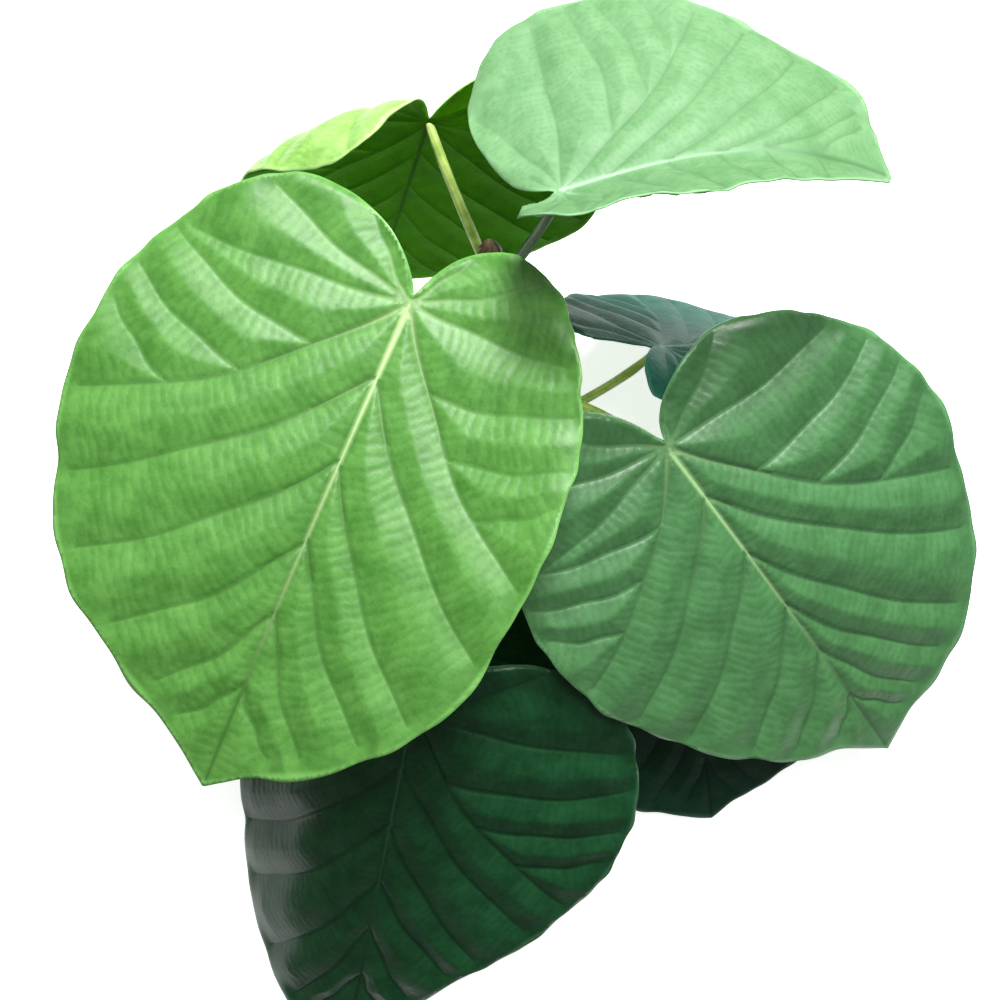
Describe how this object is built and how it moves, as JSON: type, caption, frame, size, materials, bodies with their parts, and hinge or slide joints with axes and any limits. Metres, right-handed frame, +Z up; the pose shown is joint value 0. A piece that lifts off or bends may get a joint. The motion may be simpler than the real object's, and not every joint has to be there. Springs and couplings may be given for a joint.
{
  "type": "cut leafy shoot of an umbrella fig",
  "caption": "Cut leafy end of a fig shoot: a short stem with an end bud and large heart-shaped leaves on long stalks, lying on a level surface.",
  "frame": {"origin": "on the floor, below the middle of the whole shoot's bounding box", "axes": "+Z up out of the floor, +Y from the stem's cut end towards its bud, +X to the right as seen from above"},
  "size_m": [0.4972, 0.5961, 0.3004],
  "materials": {
    "green_bark": "matt young bark with leaf scars and small pores",
    "bud_skin": "satin papery scale",
    "stalk": "smooth satin stalk",
    "leaf_bright_green": "satin leaf with sunken veins",
    "leaf_mid_green": "satin leaf with sunken veins",
    "leaf_dark_green": "glossy leaf with sunken veins",
    "leaf_blue_green": "glossy leaf with sunken veins",
    "leaf_olive_green": "matt leaf underside with raised veins",
    "leaf_mint_green": "soft young leaf with sunken veins"
  },
  "bodies": {
    "root": {"stem": "green_bark", "bud": "bud_skin", "petiole_front": "stalk", "petiole_right": "stalk", "petiole_bottom": "stalk", "petiole_lower": "stalk", "petiole_side": "stalk", "petiole_back": "stalk", "petiole_top": "stalk", "blade_front": "leaf_bright_green", "blade_right": "leaf_mid_green", "blade_bottom": "leaf_dark_green", "blade_lower": "leaf_blue_green", "blade_side": "leaf_blue_green", "blade_back": "leaf_olive_green", "blade_top": "leaf_mint_green"}
  },
  "joints": []
}
